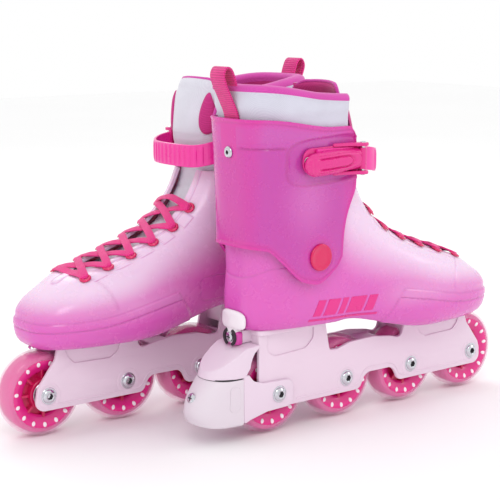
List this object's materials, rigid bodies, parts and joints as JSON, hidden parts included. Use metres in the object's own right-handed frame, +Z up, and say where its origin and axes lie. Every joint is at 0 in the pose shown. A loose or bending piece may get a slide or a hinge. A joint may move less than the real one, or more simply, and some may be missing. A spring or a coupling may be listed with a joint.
{
  "type": "inline skates",
  "caption": "Pair of inline skates: moulded boots with hinged ankle cuffs, laces, ratchet straps, side-rail chassis and free-turning wheels in line; one has a heel brake.",
  "frame": {"origin": "on the ground, at the middle of the pair's bounding box", "axes": "+X is the way the right skate points, +Y runs from the right skate to the left one, +Z up"},
  "size_m": [0.476, 0.2284, 0.3172],
  "materials": {
    "shell_plastic": "translucent satin, pale at the instep to pink at the sole",
    "cuff_plastic": "translucent satin",
    "frame_plastic": "satin moulded",
    "brake_plastic": "satin moulded",
    "brake_rubber": "dense moulded rubber, matt",
    "liner_cloth": "smooth coated cloth with pink piping",
    "tongue_cloth": "padded coated cloth",
    "footbed_foam": "brushed cloth on foam",
    "lace_cloth": "flat woven",
    "webbing": "ribbed webbing",
    "eyelet_metal": "gloss lacquer",
    "bolt_steel": "polished",
    "bearing_steel": "ground",
    "rivet_plastic": "gloss",
    "strap_plastic": "satin, ribbed",
    "buckle_plastic": "satin",
    "wheel_tyre": "clear cast urethane",
    "wheel_hub": "gloss"
  },
  "bodies": {
    "right_boot": {"right_shell": "shell_plastic", "right_frame": "frame_plastic", "right_foot_liner": "liner_cloth", "right_tongue": "tongue_cloth", "right_footbed": "footbed_foam", "right_laces": "lace_cloth", "right_eyelets": "eyelet_metal", "right_axle_bolts": "bolt_steel", "right_frame_screws": "bolt_steel", "right_pivot_rivets": "rivet_plastic", "right_brake_arm": "brake_plastic", "right_brake_pad": "brake_rubber"},
    "right_cuff": {"right_cuff": "cuff_plastic", "right_ankle_liner": "liner_cloth", "right_strap": "strap_plastic", "right_buckle_base": "buckle_plastic", "right_pull_loop": "webbing", "right_cuff_screws": "bolt_steel"},
    "right_lever": {"right_buckle_lever": "buckle_plastic"},
    "right_wheel_1": {"right_wheel_1_tyre": "wheel_tyre", "right_wheel_1_hub": "wheel_hub", "right_wheel_1_bearings": "bearing_steel"},
    "right_wheel_2": {"right_wheel_2_tyre": "wheel_tyre", "right_wheel_2_hub": "wheel_hub", "right_wheel_2_bearings": "bearing_steel"},
    "right_wheel_3": {"right_wheel_3_tyre": "wheel_tyre", "right_wheel_3_hub": "wheel_hub", "right_wheel_3_bearings": "bearing_steel"},
    "right_wheel_4": {"right_wheel_4_tyre": "wheel_tyre", "right_wheel_4_hub": "wheel_hub", "right_wheel_4_bearings": "bearing_steel"},
    "left_boot": {"left_shell": "shell_plastic", "left_frame": "frame_plastic", "left_foot_liner": "liner_cloth", "left_tongue": "tongue_cloth", "left_footbed": "footbed_foam", "left_laces": "lace_cloth", "left_eyelets": "eyelet_metal", "left_axle_bolts": "bolt_steel", "left_frame_screws": "bolt_steel", "left_pivot_rivets": "rivet_plastic"},
    "left_cuff": {"left_cuff": "cuff_plastic", "left_ankle_liner": "liner_cloth", "left_strap": "strap_plastic", "left_buckle_base": "buckle_plastic", "left_pull_loop": "webbing", "left_cuff_screws": "bolt_steel"},
    "left_lever": {"left_buckle_lever": "buckle_plastic"},
    "left_wheel_1": {"left_wheel_1_tyre": "wheel_tyre", "left_wheel_1_hub": "wheel_hub", "left_wheel_1_bearings": "bearing_steel"},
    "left_wheel_2": {"left_wheel_2_tyre": "wheel_tyre", "left_wheel_2_hub": "wheel_hub", "left_wheel_2_bearings": "bearing_steel"},
    "left_wheel_3": {"left_wheel_3_tyre": "wheel_tyre", "left_wheel_3_hub": "wheel_hub", "left_wheel_3_bearings": "bearing_steel"},
    "left_wheel_4": {"left_wheel_4_tyre": "wheel_tyre", "left_wheel_4_hub": "wheel_hub", "left_wheel_4_bearings": "bearing_steel"}
  },
  "joints": [
    {"name": "right_cuff_flex", "type": "hinge", "parent": "right_boot", "child": "right_cuff", "pos_m": [-0.015, -0.056, 0.158], "axis": [0, 1, 0], "range_deg": [0, 10], "stiffness_Nm_per_rad": 4},
    {"name": "right_lever_swing", "type": "hinge", "parent": "right_cuff", "child": "right_lever", "pos_m": [0.023, -0.1096, 0.24], "axis": [0, 0, 1], "range_deg": [0, 100]},
    {"name": "right_wheel_1_spin", "type": "hinge", "parent": "right_boot", "child": "right_wheel_1", "pos_m": [-0.04, -0.056, 0.038], "axis": [0, 1, 0], "continuous": true},
    {"name": "right_wheel_2_spin", "type": "hinge", "parent": "right_boot", "child": "right_wheel_2", "pos_m": [0.04, -0.056, 0.038], "axis": [0, 1, 0], "continuous": true},
    {"name": "right_wheel_3_spin", "type": "hinge", "parent": "right_boot", "child": "right_wheel_3", "pos_m": [0.12, -0.056, 0.038], "axis": [0, 1, 0], "continuous": true},
    {"name": "right_wheel_4_spin", "type": "hinge", "parent": "right_boot", "child": "right_wheel_4", "pos_m": [0.2, -0.056, 0.038], "axis": [0, 1, 0], "continuous": true},
    {"name": "left_cuff_flex", "type": "hinge", "parent": "left_boot", "child": "left_cuff", "pos_m": [0.015, 0.056, 0.158], "axis": [0, -1, 0], "range_deg": [0, 10], "stiffness_Nm_per_rad": 4},
    {"name": "left_lever_swing", "type": "hinge", "parent": "left_cuff", "child": "left_lever", "pos_m": [-0.023, 0.1096, 0.24], "axis": [0, 0, 1], "range_deg": [0, 100]},
    {"name": "left_wheel_1_spin", "type": "hinge", "parent": "left_boot", "child": "left_wheel_1", "pos_m": [0.04, 0.056, 0.038], "axis": [0, -1, 0], "continuous": true},
    {"name": "left_wheel_2_spin", "type": "hinge", "parent": "left_boot", "child": "left_wheel_2", "pos_m": [-0.04, 0.056, 0.038], "axis": [0, -1, 0], "continuous": true},
    {"name": "left_wheel_3_spin", "type": "hinge", "parent": "left_boot", "child": "left_wheel_3", "pos_m": [-0.12, 0.056, 0.038], "axis": [0, -1, 0], "continuous": true},
    {"name": "left_wheel_4_spin", "type": "hinge", "parent": "left_boot", "child": "left_wheel_4", "pos_m": [-0.2, 0.056, 0.038], "axis": [0, -1, 0], "continuous": true},
    {"name": "left_skate_lift", "type": "slide", "parent": "right_boot", "child": "left_boot", "axis": [0, 0, 1], "range_m": [0, 0.3]}
  ]
}
